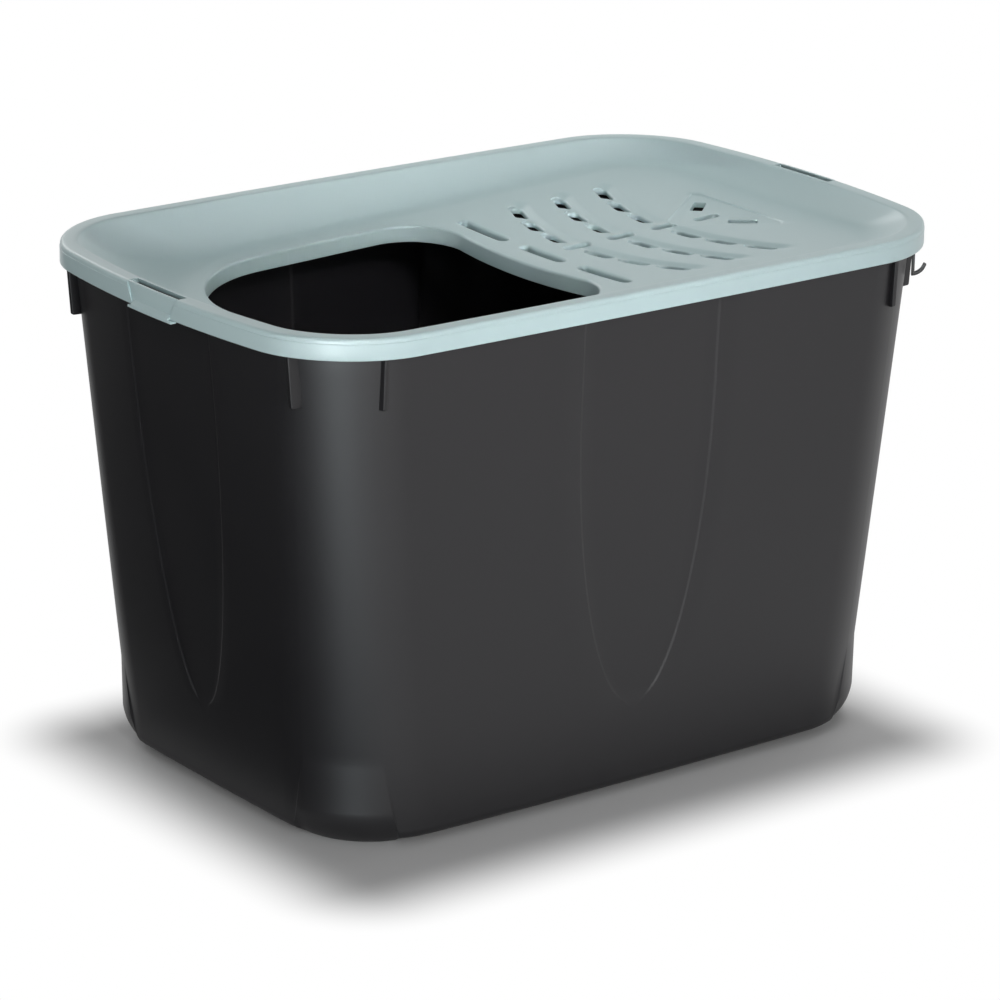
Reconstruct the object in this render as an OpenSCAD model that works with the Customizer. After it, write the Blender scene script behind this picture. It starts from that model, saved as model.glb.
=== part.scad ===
// Top entry litter box: a tall tub with a dished, perforated lid that snaps on.
// The long side runs along X, the entry opening is toward -X, and Z = 0 is the ground.

/* [Overall] */
// Length over the two bowed ends of the lid
box_l = 600; // [560:5:640]
// Width over the two long sides of the lid
box_w = 387.4; // [367.4:5:407.4]
// Height of the lower edge of the lid's skirt above the ground
skirt_z = 369.5; // [339.5:5:399.5]
// Outward bow at the middle of each short end
end_bow = 20.5; // [12.5:1:24.5]
// Outward bow at the middle of each long side
side_bow = 3.4; // [1.4:0.5:5.4]
// Corner radius of the lid's outline
corner_r = 70; // [64:1:78]

/* [Tub] */
// Length of the tub at its base, along the corner line
base_l = 498; // [468:5:508]
// Width of the tub at its base, along the corner line
base_w = 329; // [309:4:337]
// Corner radius at the base
base_r = 74.5; // [64.5:1:80.5]
// Bow of the short ends at the base
base_end_bow = 2; // [0:0.5:5]
// Bow of the long sides at the base
base_side_bow = 4.5; // [1:0.5:6]
// Wall thickness of the tub
tub_wall = 2.4; // [2:0.1:3]
// Thickness of the tub's base
base_t = 2.6; // [2:0.1:3.4]
// Height of the base above the ground, on its four feet
foot_h = 5; // [3:0.5:8]
// Rounding between the wall and the base
base_round = 8; // [6:1:12]
// Distance of the tub's wall inside the lid's outline, at the skirt's lower edge
wall_inset = 10.6; // [10.4:0.1:12]
// Distance of the rim's hanging lip inside the lid's outline
lip_inset = 5.8; // [5.4:0.1:6.2]
// Height of the rim's hanging lip
lip_h = 10.8; // [8:0.2:11.4]

/* [Tub relief] */
// Half width of the shield-shaped relief on a long side
side_relief_w = 60; // [40:2:80]
// Half width of the shield-shaped relief on a short end
end_relief_w = 52; // [36:2:64]
// Height of the lower tip of the reliefs
relief_tip_z = 70; // [68:2:110]
// Height over which the relief of a long side narrows to its tip
side_relief_h = 236; // [180:4:270]
// Height over which the relief of a short end narrows to its tip
end_relief_h = 280; // [180:4:290]
// Depth of the reliefs
relief_d = 1; // [0.4:0.1:1.4]

/* [Tub ribs and feet] */
// Position of the ribs of the short ends, from the box's middle
end_rib_y = 139; // [134:1:144]
// Position of the ribs of the long sides, from the box's middle
side_rib_x = 228.3; // [222.3:1:234.3]
// Thickness of the ribs under the rim
rib_t = 3.2; // [2.4:0.1:3.6]
// How far the ribs of the short ends stand out from the wall
end_rib_out = 7.2; // [4:0.2:8]
// How far the ribs of the long sides stand out from the wall
side_rib_out = 4; // [2.8:0.2:5.4]
// Length of the ribs below the skirt
rib_drop = 39; // [24:0.5:50]
// Height where the corner feet leave the wall
foot_top_z = 66; // [56:1:67]
// How far the sides of a corner foot stand out from the wall
foot_out = 1.4; // [0.8:0.2:2]
// Extra thickness of a foot at its middle
foot_crown = 2; // [1:0.2:3]
// Height where a foot starts to turn under
foot_crease_z = 27; // [22:1:32]
// How far a foot turns inward under the wall
foot_turn = 20; // [16:1:23]

/* [Lid] */
// Thickness of the lid's skirt
skirt_t = 2.4; // [2:0.1:2.8]
// Height of the lid's rim above the skirt's lower edge
rim_h = 15.6; // [15:0.2:18]
// Thickness of the lid's rim
rim_t = 2.8; // [2.4:0.1:3.2]
// Width of the flat top of the rim
rim_band = 12.5; // [12:0.1:14]
// Thickness of the dished floor and its slope
lid_t = 2.5; // [2.2:0.1:3]
// Depth of the floor below the rim's top, at the near edge of the grid
floor_depth = 26.2; // [22:0.2:30]
// Fall of the floor toward the opening, in degrees
floor_tilt = 2.16; // [1:0.02:2.6]
// Radius of the floor's hollow, across the box
trough_r = 2049; // [1600:10:3000]
// Left end of the floor, where the slope from the rim ends
floor_x0 = -230; // [-236:1:-228]
// Right end of the floor
floor_x1 = 258; // [252:1:264]
// Half width of the floor
floor_hw = 133; // [130:0.5:140]

/* [Opening] */
// Left end of the entry opening
open_x0 = -214; // [-216:1:-196]
// Right end of the entry opening, at its corners
open_x1 = 23; // [10:1:25]
// Half width of the entry opening
open_hw = 121; // [110:0.5:123]
// Radius of the opening's two left corners
open_r0 = 86; // [60:1:90]
// Radius of the opening's two right corners
open_r1 = 45; // [36:1:50]
// How far the opening's right edge bulges into it
open_bulge = 5; // [2:0.5:7]
// Depth of the collar round the opening
collar_h = 12; // [8:0.5:16]
// Thickness of the collar
collar_t = 2.2; // [1.8:0.1:2.8]
// Rounding between the floor and the collar
collar_round = 2; // [1.5:0.5:3]

/* [Fish-bone grid] */
// Distance of the first curved row of slots from the middle of the box
row_x = 73.5; // [71:0.5:76]
// Spacing of the curved rows
row_pitch = 41; // [38:0.5:42]
// Radius of the curved rows
row_r = 250; // [200:5:320]
// Width of a slot
slot_w = 8; // [6:0.2:9]
// Length of a slot
slot_l = 23.5; // [20:0.5:27]
// Depth of the walls round the slots, below the floor's surface
slot_depth = 5; // [3.5:0.5:6]
// Spacing of the slots along a row, from the spine out
slot_pitch = 34.3; // [32.3:0.5:35.3]
// Distance of the first slot of a row from the spine
slot_first = 27.5; // [27:0.5:30]
// Length of the slots along the spine
spine_l = 22.5; // [20:0.5:26]
// Length of the two slots of the tail
tail_l = 22; // [20:0.5:28]
// Position of the straight row of long slots
long_x = 42.5; // [41.5:0.5:44]
// Length of the two outer long slots
long_l = 57; // [50:1:60]
// Length of the middle long slot
long_mid_l = 49; // [40:1:54]
// Depth of the grooves that the slots lie in
groove_d = 1; // [0.6:0.1:1.2]
// Width of the grooves
groove_w = 14; // [12:0.5:16]
// Right edge of the tail's recess
tail_x = 232; // [226:1:238]
// Half width of the tail's recess at its right edge
tail_hw = 54; // [46:1:60]

/* [Latches] */
// Width of a latch at its top
latch_w = 62; // [54:0.5:64]
// Width of a latch at the skirt's lower edge
latch_foot_w = 47; // [40:0.5:49]
// Width of the lip at the bottom of a latch
latch_lip_w = 55; // [51:0.5:58]
// Thickness of a latch
latch_t = 2.2; // [1.8:0.1:2.2]
// Recess of a latch behind the skirt's face
latch_recess = 1.2; // [0.8:0.1:1.2]
// How far the latch's lip hangs below the skirt
latch_drop = 2.5; // [2:0.1:4]
// How far the latch's lip stands out from the skirt
latch_out = 1.6; // [0.8:0.1:2.4]
// Width of the open slot behind a latch
slot_gap = 6.6; // [5:0.2:7]
// How far a latch's hook reaches under the tub's lip
hook_bite = 1.4; // [0.8:0.1:1.8]
// Radius of a latch's pivot pins
pin_r = 1.2; // [0.9:0.1:1.4]

/* [Scoop hook] */
// Thickness of the hook's strip
scoop_t = 2.4; // [1.8:0.1:2.4]
// Width of the hook's strip
scoop_w = 4; // [3:0.5:6]
// Distance from the tub's lip down to the bottom of the hook
scoop_drop = 28; // [24:0.1:36]
// Inner radius of the hook's bend
scoop_r = 8.5; // [6.5:0.1:9.5]
// Outward lean of the hook's tip, in degrees
scoop_lean = 25; // [10:1:40]
// Length of the hook's straight tip
scoop_tip = 2.8; // [1:0.2:5]

/* [Clearances] */
// Gap round a latch in its window
latch_gap = 0.3; // [0.2:0.05:0.5]
// Gap between a pivot pin and its bore
pin_gap = 0.08; // [0.03:0.01:0.1]
// Gap between the latch's hook and the tub's lip
bite_gap = 0.4; // [0.3:0.1:0.8]
// Gap between the scoop hook's jaws and the lip that they hold
jaw_gap = 0.35; // [0.25:0.05:0.4]

/* [Hidden] */

anthracite = [0.24, 0.24, 0.26];
sage = [0.70, 0.77, 0.77];

relief_edge = 1.5;
foot_edge = 1.6;
foot_middle = 39.5;
foot_low_w = 30;
foot_high_w = 22;
slot_wall = 1.8;
latch_hook_w = 30;
round_corner = [for (k = [0 : 12]) 7.5 * k];
hx = box_l / 2 - end_bow;
hy = box_w / 2 - side_bow;
rim_z = skirt_z + rim_h;
seat_z = rim_z - rim_t;
floor_z = rim_z - floor_depth;
base_hx = base_l / 2;
base_hy = base_w / 2;

// Positions along a side of half length a, close together where a feature of half width w ends
function stops(a, w) =
    let(o = w + relief_edge, q = w - relief_edge, s = (a - o) / 2)
    [-o - s, -o, -q, -w / 2, 0, w / 2, q, o, o + s];

// Angles round a corner, from the box's end, close together where a foot of half width w ends
function foot_corner(w) =
    let(m = foot_middle, low = m - w - foot_edge, high = m + w + foot_edge)
    [0, low / 2, low, m - w, m - 0.65 * w, m - 0.3 * w, m,
        m + 0.3 * w, m + 0.65 * w, m + w, high, (high + 90) / 2, 90];

// A corner's curve round a centre, its angles run backward where b is 1
function arc(cx, cy, r, a0, angles, b) =
    [for (k = [0 : 12]) let(a = a0 + (b > 0 ? 90 - angles[12 - k] : angles[k]))
        [cx + r * cos(a), cy + r * sin(a)]];

// Bows a point of an outline with half sizes ax and ay outward by bx at the ends and by at the sides
function bowed(p, ax, ay, bx, by) =
    [p.x + p.x * bx / ax * (1 - pow(p.y / ay, 2)), p.y + p.y * by / ay * (1 - pow(p.x / ax, 2))];

function pushed(i, d) = i > 1 && i < 7 ? d : 0;

// A closed outline from x0 to x1 with corner radii r0 and r1, bowed sides, and a relief of
// half width we or ws and depth d in the middle of its ends and sides
function outline(x0, x1, ay, r0, r1, bx, by, we, ws, d = 0, angles = round_corner) =
    let(mid = (x0 + r0 + x1 - r1) / 2,
        half = (x1 - r1 - x0 - r0) / 2,
        right = stops(ay - r1, we),
        left = stops(ay - r0, we),
        side = stops(half, ws))
    [for (p = concat(
        [for (i = [0 : 8]) [x1 - pushed(i, d), right[i]]],
        arc(x1 - r1, ay - r1, r1, 0, angles, 0),
        [for (i = [0 : 8]) [mid - side[i], ay - pushed(i, d)]],
        arc(x0 + r0, ay - r0, r0, 90, angles, 1),
        [for (i = [0 : 8]) [x0 + pushed(i, d), -left[i]]],
        arc(x0 + r0, r0 - ay, r0, 180, angles, 0),
        [for (i = [0 : 8]) [mid + side[i], pushed(i, d) - ay]],
        arc(x1 - r1, r1 - ay, r1, 270, angles, 1)))
        bowed(p, (x1 - x0) / 2, ay, bx, by)];

function at_z(points, z) = [for (p = points) [p.x, p.y, z]];
function mix(a, b, t) = a * (1 - t) + b * t;

// A closed skin over rings of equal point counts, capped at both ends or joined into a loop
module loft(rings, loop = false) {
    n = len(rings[0]);
    m = len(rings);
    last = loop ? m - 1 : m - 2;
    sides = [for (j = [0 : last], i = [0 : n - 1])
        let(k = (i + 1) % n, u = (j + 1) % m)
        each [[j * n + i, u * n + k, j * n + k], [j * n + i, u * n + i, u * n + k]]];
    caps = loop ? [] : [[for (i = [0 : n - 1]) i], [for (i = [n - 1 : -1 : 0]) (m - 1) * n + i]];
    polyhedron([for (r = rings) each r], concat(sides, caps));
}

// The lid's outline, moved inward by e
function rim(e, z, w = latch_w / 2 - relief_edge, angles = round_corner) =
    at_z(outline(e - hx, hx - e, hy - e, corner_r - e, corner_r - e,
        end_bow, side_bow, w, side_relief_w, 0, angles), z);

// Share of the way from the tub's base up to the skirt
function up(z) = (z - foot_h) / (skirt_z - foot_h);

function relief_w(z, w, h) =
    z >= relief_tip_z + h ? w
    : max(2 * relief_edge, w * sqrt(max(0, 1 - pow((relief_tip_z + h - z) / h, 2))));
function relief_depth(z) = relief_d * min(1, max(0, (z - relief_tip_z) / 4));

function wall_hx(z) = mix(base_hx, hx - wall_inset, up(z));
function wall_hy(z) = mix(base_hy, hy - wall_inset, up(z));
function wall_r(z) = mix(base_r, corner_r - wall_inset, up(z));
function wall_end_bow(z) = mix(base_end_bow, end_bow, up(z));
function wall_side_bow(z) = mix(base_side_bow, side_bow, up(z));

// Half width of a foot at height z, as an angle round its corner
function foot_w(z) = mix(foot_low_w, foot_high_w, min(1, z / foot_top_z));

// The tub's wall at height z, moved inward by e
function wall(z, e) =
    at_z(outline(e - wall_hx(z), wall_hx(z) - e, wall_hy(z) - e, wall_r(z) - e, wall_r(z) - e,
        wall_end_bow(z), wall_side_bow(z),
        relief_w(z, end_relief_w, end_relief_h), relief_w(z, side_relief_w, side_relief_h),
        relief_depth(z), foot_corner(foot_w(z))), z);

// A point of the tub's wall on its +X +Y corner, at angle a and moved inward by e
function wall_corner(z, a, e) =
    let(r = wall_r(z) - e,
        p = bowed([wall_hx(z) - wall_r(z) + r * cos(a), wall_hy(z) - wall_r(z) + r * sin(a)],
            wall_hx(z) - e, wall_hy(z) - e, wall_end_bow(z), wall_side_bow(z)))
    [p.x, p.y, z];

// Share of a foot's thickness at height z, from none at its top to all where it turns under
function foot_share(z) = min(1, max(0, (foot_top_z - z) / (foot_top_z - foot_crease_z)));

// The wall at z and e, with its four feet at foot_z and moved inward by foot_e instead.
// The foot covers the corner's points from number n on, up to 12 - n.
function wall_with_feet(z, e, foot_z, foot_e, n) =
    let(w = wall(z, e), angles = foot_corner(foot_w(foot_z)))
    [for (i = [0 : len(w) - 1])
        let(k = i % 22 - 9)
        k < n || k > 12 - n ? w[i] :
            let(c = foot_corner_point(foot_z, angles, k, i > 21 && i < 44 || i > 65, foot_e))
            [sign(w[i].x) * c.x, sign(w[i].y) * c.y, foot_z]];

function foot_corner_point(z, angles, k, back, e) =
    let(a = angles[back ? 12 - k : k], t = (a - foot_middle) / foot_w(z), f = foot_share(z))
    wall_corner(z, a, e - f * (foot_out + foot_crown * (1 - t * t)));

// A ring of the shell where the foot has turned by the angle a, 0 under the foot and 90 upright,
// with the wall at z and e. The skin is moved inward by t.
function turned_foot(z, e, a, t, n) =
    wall_with_feet(z, e, t + (foot_crease_z - t) * (1 - cos(a)),
        t + (foot_turn - t) * (1 - sin(a)), n);

relief_steps = [for (i = [0 : 7]) relief_tip_z + side_relief_h * (1 - cos(90 * i / 7))];

module tub_shell() {
    base_z = foot_h + base_t;
    inner_round = base_round - tub_wall;
    top = seat_z;
    upright = foot_corner(foot_high_w);
    middle_z = (foot_crease_z + foot_top_z) / 2;
    sole = 33;
    outer_foot = [
        wall_with_feet(foot_h, sole + 1, foot_h, sole + 1, 3),
        wall_with_feet(foot_h, sole, 0, sole, 3),
        turned_foot(foot_h, base_round, 0, 0, 3),
        turned_foot(foot_h + base_round * 0.13, base_round * 0.5, 30, 0, 3),
        turned_foot(foot_h + base_round * 0.5, base_round * 0.13, 55, 0, 3),
        turned_foot(foot_h + base_round, 0, 75, 0, 3),
        turned_foot(foot_crease_z, 0, 90, 0, 3),
        wall_with_feet(middle_z, 0, middle_z, 0, 3),
        wall_with_feet(foot_top_z, 0, foot_top_z, 0, 3)];
    outer = [for (z = relief_steps) wall(z, 0)];
    edge = [
        wall(skirt_z, 0),
        rim(wall_inset, top - tub_wall, end_relief_w, upright),
        rim(lip_inset + tub_wall, top - tub_wall, end_relief_w, upright),
        rim(lip_inset + tub_wall, top - lip_h, end_relief_w, upright),
        rim(lip_inset, top - lip_h, end_relief_w, upright),
        rim(lip_inset, top - 0.8, end_relief_w, upright),
        rim(lip_inset + 0.8, top, end_relief_w, upright),
        rim(wall_inset - 0.4, top, end_relief_w, upright),
        rim(wall_inset + tub_wall, top - 3.7, end_relief_w, upright)];
    inner = [for (t = [0, 0.3, 0.65, 1]) wall(mix(skirt_z, foot_top_z, t), tub_wall)];
    inner_foot = [
        wall_with_feet(middle_z, tub_wall, middle_z, tub_wall, 4),
        turned_foot(base_z + inner_round, tub_wall, 75, tub_wall, 4),
        turned_foot(base_z + inner_round * 0.13, tub_wall + inner_round * 0.5, 40, tub_wall, 4),
        turned_foot(base_z, tub_wall + inner_round, 0, tub_wall, 4),
        wall_with_feet(base_z, sole - 2, tub_wall, sole - 2, 4),
        wall_with_feet(base_z, sole - 1, base_z, sole - 1, 4)];
    loft(concat(outer_foot, outer, edge, inner, inner_foot));
}

module at_corners() {
    for (mx = [0, 1], my = [0, 1]) mirror([mx, 0, 0]) mirror([0, my, 0]) children();
}

// Side view of a rib that stands out by w from the wall, at d_top under the skirt and d_low
module rib_profile(d_top, d_low, w) {
    low = skirt_z - rib_drop;
    under_rim = min(w, wall_inset - lip_inset - 0.8);
    polygon([[d_low - tub_wall / 2, low], [d_low + w + 1, low + 1], [d_top + w, skirt_z],
        [d_top + under_rim, skirt_z + 5], [d_top + under_rim, seat_z - tub_wall / 2],
        [d_top - tub_wall / 2, seat_z - tub_wall / 2]]);
}

// Distance of the wall from the middle plane at a place across it, on a corner's curve
function end_wall(y, z) =
    let(a = asin(min(1, max(0, (y - wall_hy(z) + wall_r(z)) / wall_r(z))))) wall_corner(z, a, 0).x;
function side_wall(x, z) =
    let(a = acos(min(1, max(0, (x - wall_hx(z) + wall_r(z)) / wall_r(z))))) wall_corner(z, a, 0).y;

module ribs() {
    low = skirt_z - rib_drop;
    at_corners() {
        translate([0, end_rib_y + rib_t / 2, 0]) rotate([90, 0, 0]) linear_extrude(rib_t)
            rib_profile(end_wall(end_rib_y, skirt_z), end_wall(end_rib_y, low), end_rib_out);
        translate([side_rib_x - rib_t / 2, 0, 0]) rotate([90, 0, 90]) linear_extrude(rib_t)
            rib_profile(side_wall(side_rib_x, skirt_z), side_wall(side_rib_x, low), side_rib_out);
    }
}

module tub() {
    color(anthracite) union() {
        tub_shell();
        ribs();
    }
}

// Height of the lid's floor, a shallow trough that falls toward the opening
function floor_at(x, y) =
    floor_z + (x - long_x) * tan(floor_tilt)
    + (trough_r - sqrt(trough_r * trough_r - y * y)) / cos(floor_tilt);

function floor_outline(e) =
    outline(floor_x0 + e, floor_x1 - e, floor_hw - e, open_r0 + 15 - e, 50 - e, 0, 0,
        latch_w / 2 - relief_edge, side_relief_w);

// A ring of the slope between the rim's band, at s = 0, and the floor, at s = 1
function slope(s, drop) =
    let(a = rim(rim_band, rim_z), b = floor_outline(0), g = 1 - pow(1 - s, 1.8))
    [for (i = [0 : len(a) - 1])
        let(x = mix(a[i].x, b[i].x, s), y = mix(a[i].y, b[i].y, s))
        [x, y, mix(rim_z, floor_at(b[i].x, b[i].y), g) - drop]];

function on_floor(points, drop) = [for (p = points) [p.x, p.y, floor_at(p.x, p.y) - drop]];

module lid_rim() {
    steps = [0.12, 0.28, 0.48, 0.72, 1];
    edge_r = 2.4;
    loft(concat(
        [rim(0, skirt_z), rim(0, rim_z - edge_r), rim(edge_r * 0.3, rim_z - edge_r * 0.3),
         rim(edge_r, rim_z), rim(rim_band - 1, rim_z)],
        [for (s = steps) slope(s, 0)],
        [on_floor(floor_outline(3), 0), on_floor(floor_outline(3), lid_t)],
        [for (i = [4 : -1 : 0]) slope(steps[i], lid_t)],
        [rim(rim_band, seat_z), rim(skirt_t, seat_z), rim(skirt_t, skirt_z)]), loop = true);
}

function opening(e) =
    outline(open_x0 - e, open_x1 + e, open_hw + e, open_r0 + e, open_r1 + e, 0, 0, 20, 40);

// The opening's outline with its right edge bulged in
function opening_bulged(e) =
    let(h = open_hw - open_r1)
    [for (p = opening(e)) abs(p.y) < h && p.x > 0
        ? [p.x - open_bulge * (1 - pow(p.y / h, 2)), p.y] : p];

module collar() {
    r = collar_round;
    t = collar_t;
    loft([
        on_floor(opening_bulged(r + 1.5), lid_t),
        on_floor(opening_bulged(r + 1.5), 0),
        on_floor(opening_bulged(r), 0),
        on_floor(opening_bulged(r * 0.3), r * 0.3),
        on_floor(opening_bulged(0), r),
        on_floor(opening_bulged(-0.4), collar_h),
        on_floor(opening_bulged(t - 0.4), collar_h),
        on_floor(opening_bulged(t), r + t * 0.4),
        on_floor(opening_bulged(t + r * 0.4), lid_t + 0.6)], loop = true);
}

// Everything above the trough's surface lowered by d
module above_trough(d) {
    translate([long_x, 0, floor_z]) rotate([0, -floor_tilt, 0])
        translate([0, 0, trough_r]) rotate([0, 90, 0])
            cylinder(r = trough_r + d, h = 2 * box_l, center = true, $fn = 720);
}

// A slot of length l, widened by g all round
module slot(l, g) {
    for (s = [-1, 1]) translate([s * (l - slot_w) / 2, 0]) circle(d = slot_w + 2 * g, $fn = 24);
    square([l - slot_w, slot_w + 2 * g], center = true);
}

// Places a shape on a curved row, at the distance s from the spine along the row
module on_row(x, s) {
    a = s / row_r * 180 / PI;
    translate([x + row_r, 0]) rotate(-a) translate([-row_r, 0]) children();
}

module slots(g = 0) {
    for (row = [0 : 2]) {
        x = row_x + row * row_pitch;
        for (side = [-1, 1], i = [0 : 2])
            on_row(x, side * (slot_first + i * slot_pitch)) rotate(90) slot(slot_l, g);
    }
    for (row = [0 : 3]) translate([row_x + row * row_pitch + 1, 0]) slot(spine_l, g);
    translate([long_x, 0]) rotate(90) slot(long_mid_l, g);
    for (side = [-1, 1]) {
        translate([long_x, side * 73.5]) rotate(90) slot(long_l, g);
        translate([tail_x - 21, side * 26.5]) rotate(side * 42)
            square([tail_l + 2 * g, slot_w + 1 + 2 * g], center = true);
    }
}

// The grooves that the slots lie in, and the tail's recess
module grooves() {
    reach = slot_first + 2 * slot_pitch + slot_l;
    a = reach / row_r * 180 / PI;
    for (row = [0 : 2]) translate([row_x + row * row_pitch + row_r, 0])
        polygon(concat(
            [for (k = [-8 : 8]) let(t = a * k / 8) -(row_r + slot_w / 2) * [cos(t), sin(t)]],
            [for (k = [8 : -1 : -8]) let(t = a * k / 8)
                -(row_r + slot_w / 2 - groove_w * (1 - pow(abs(k / 8), 3)) - 0.6)
                    * [cos(t), sin(t)]]));
    polygon([[tail_x - 66, 9], [tail_x - 5, tail_hw], [tail_x, tail_hw - 5],
        [tail_x, 5 - tail_hw], [tail_x - 5, -tail_hw], [tail_x - 66, -9]]);
}

// A drawing stood up through the lid's floor
module through_floor() {
    translate([0, 0, floor_z - 40]) linear_extrude(80) children();
}

module lid_floor() {
    play = 0.15;
    difference() {
        union() {
            intersection() {
                through_floor() difference() {
                    polygon([for (p = floor_outline(1.5)) [p.x, p.y]]);
                    polygon([for (p = opening_bulged(collar_round + 0.4)) [p.x, p.y]]);
                }
                above_trough(lid_t - play);
            }
            intersection() {
                through_floor() slots(slot_wall);
                above_trough(slot_depth);
            }
        }
        above_trough(play);
        intersection() {
            through_floor() grooves();
            above_trough(groove_d + play);
        }
        through_floor() slots();
    }
}

// Pivot of a latch, inside the rim's outer corner
pivot_x = box_l / 2 - 3;
pivot_z = rim_z - 3.7;
latch_face = box_l / 2 - latch_recess;
latch_back = latch_face - latch_t;
slot_in = latch_back - slot_gap;

// A latch's outline on the end of the box, widened by g
module latch_outline(g) {
    low = latch_foot_w / 2 + g;
    wide = latch_w / 2 + g;
    polygon([[-low, skirt_z], [low, skirt_z], [wide, rim_z], [wide, rim_z + 2],
        [-wide, rim_z + 2], [-wide, rim_z]]);
}

// Stands a drawing of the end view up at the +X end, from x0 to x1
module end_view(x0, x1) {
    translate([x0, 0, 0]) rotate([90, 0, 90]) linear_extrude(x1 - x0) children();
}

module latch_window() {
    end_view(slot_in, box_l / 2 + 2) latch_outline(latch_gap);
    end_view(slot_in, box_l / 2 + 2)
        translate([0, skirt_z - 2]) square([latch_foot_w + 2 * latch_gap, 5], center = true);
    for (s = [-1, 1]) translate([pivot_x, s * (latch_w / 2 + 4.2), pivot_z])
        rotate([s * 90, 0, 0]) cylinder(r = pin_r + pin_gap, h = 9, $fn = 32);
}

// The two ears beside a latch that carry its pins
module latch_ears() {
    y0 = latch_w / 2 - 3;
    for (s = [-1, 1]) translate([box_l / 2 - 5.2, s > 0 ? y0 : -y0 - 8.4, rim_z - 7.6])
        cube([3.4, 8.4, 6.6]);
}

// A side view drawn at the +X end, w wide and centred across the box
module across(w) {
    translate([0, w / 2, 0]) rotate([90, 0, 0]) linear_extrude(w) children();
}

module latch() {
    lip_z = skirt_z - latch_drop;
    lip_face = box_l / 2 + latch_out;
    hook_top = seat_z - lip_h - bite_gap;
    hook_x = box_l / 2 - lip_inset - hook_bite;
    end_view(latch_back, latch_face) intersection() {
        latch_outline(0);
        translate([0, skirt_z]) square([2 * latch_w, 2 * rim_h], center = true);
    }
    across(latch_lip_w) polygon([[latch_back, lip_z], [lip_face, lip_z],
        [lip_face, skirt_z - 2 * latch_gap], [latch_back, skirt_z - 2 * latch_gap]]);
    across(latch_foot_w) polygon([[latch_back, lip_z + 0.4], [lip_face, lip_z + 0.4],
        [lip_face, skirt_z + 0.4], [latch_face, skirt_z + 3.4], [latch_back, skirt_z + 3.4]]);
    across(latch_hook_w) polygon([[latch_back + 0.1, hook_top], [hook_x, hook_top],
        [hook_x, hook_top - 1.4], [latch_back + 0.1, lip_z + 0.6]]);
    for (s = [-1, 1]) translate([pivot_x, s * (latch_w / 2 - 4), pivot_z])
        rotate([s * -90, 0, 0]) cylinder(r = pin_r, h = 7.4, $fn = 32);
}

module lid() {
    color(sage) difference() {
        union() {
            lid_rim();
            lid_floor();
            collar();
            latch_ears();
            mirror([1, 0, 0]) latch_ears();
        }
        latch_window();
        mirror([1, 0, 0]) latch_window();
    }
}

module right_latch() {
    color(sage) latch();
}

module left_latch() {
    color(sage) mirror([1, 0, 0]) latch();
}

// Where the scoop hook hangs on the lip, on the +X -Y corner
scoop_a = 33.6;
scoop_dir = 40.3;
lip_mid = lip_inset + tub_wall / 2;
scoop_p = bowed([hx - corner_r + (corner_r - lip_mid) * cos(scoop_a),
    hy - corner_r + (corner_r - lip_mid) * sin(scoop_a)],
    hx - lip_mid, hy - lip_mid, end_bow, side_bow);

// Side view of the scoop hook: x is out from the middle of the lip, y is down from its edge
module scoop_profile() {
    half = scoop_t / 2;
    centre = scoop_r + scoop_t - scoop_drop;
    turns = [for (k = [0 : 8]) mix(-90, -scoop_lean, k / 8)];
    along = scoop_tip * [sin(scoop_lean), cos(scoop_lean)];
    outer = [for (a = turns) [-half, centre] + (scoop_r + scoop_t) * [cos(a), sin(a)]];
    a0 = -acos(scoop_t / scoop_r);
    inner = [for (k = [8 : -1 : 0])
        let(a = mix(a0, -scoop_lean, k / 8)) [-half, centre] + scoop_r * [cos(a), sin(a)]];
    polygon(concat([[-half, -jaw_gap]], outer, [outer[8] + along, inner[0] + along], inner,
        [[half, -jaw_gap]]));
}

module scoop_jaws() {
    in = tub_wall / 2 + jaw_gap;
    translate([-in - 1.6, -2.4 - jaw_gap]) square([2 * in + 3.2, 2.4]);
    for (s = [-1, 1]) translate([s * (in + 0.8) - 0.8, -2.4]) square([1.6, 7.4]);
}

module scoop_hook() {
    color(anthracite) translate([scoop_p.x, -scoop_p.y, seat_z - lip_h]) rotate([0, 0, -scoop_dir]) {
        translate([0, scoop_w / 2, 0]) rotate([90, 0, 0]) linear_extrude(scoop_w) scoop_profile();
        translate([0, 3, 0]) rotate([90, 0, 0]) linear_extrude(6) scoop_jaws();
    }
}

tub();
lid();
left_latch();
right_latch();
scoop_hook();
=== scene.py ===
import bpy
import bmesh
import math
import numpy as np
from mathutils import Matrix, Vector


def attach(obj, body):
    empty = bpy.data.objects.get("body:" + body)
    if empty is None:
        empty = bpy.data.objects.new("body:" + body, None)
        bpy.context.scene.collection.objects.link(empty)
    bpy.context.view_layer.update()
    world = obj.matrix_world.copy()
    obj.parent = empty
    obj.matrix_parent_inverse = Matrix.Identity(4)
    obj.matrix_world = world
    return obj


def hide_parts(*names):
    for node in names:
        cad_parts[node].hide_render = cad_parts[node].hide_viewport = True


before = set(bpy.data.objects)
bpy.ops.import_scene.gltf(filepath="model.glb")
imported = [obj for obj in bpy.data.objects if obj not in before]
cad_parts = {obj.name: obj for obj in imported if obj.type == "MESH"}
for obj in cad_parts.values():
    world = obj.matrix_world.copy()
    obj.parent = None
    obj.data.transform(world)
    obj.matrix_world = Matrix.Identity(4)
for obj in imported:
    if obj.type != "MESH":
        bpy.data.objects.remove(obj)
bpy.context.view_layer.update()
print("frame loaded:", ", ".join(sorted(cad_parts)))

mm = 0.001  # sizes below are in millimetres, meshes in metres

# the lid's outline, which the tub follows further in
shell = {
    "halfLength": 279.5,
    "halfWidth": 190.3,
    "corner": 70.0,
    "endBow": 20.5,
    "sideBow": 3.4,
    "skirtBottom": 369.5,
    "rimTop": 385.1,
}
boxEnd = shell["halfLength"] + shell["endBow"]


def smoothStep(t):
    t = np.clip(t, 0.0, 1.0)
    return t * t * (3 - 2 * t)


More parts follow.
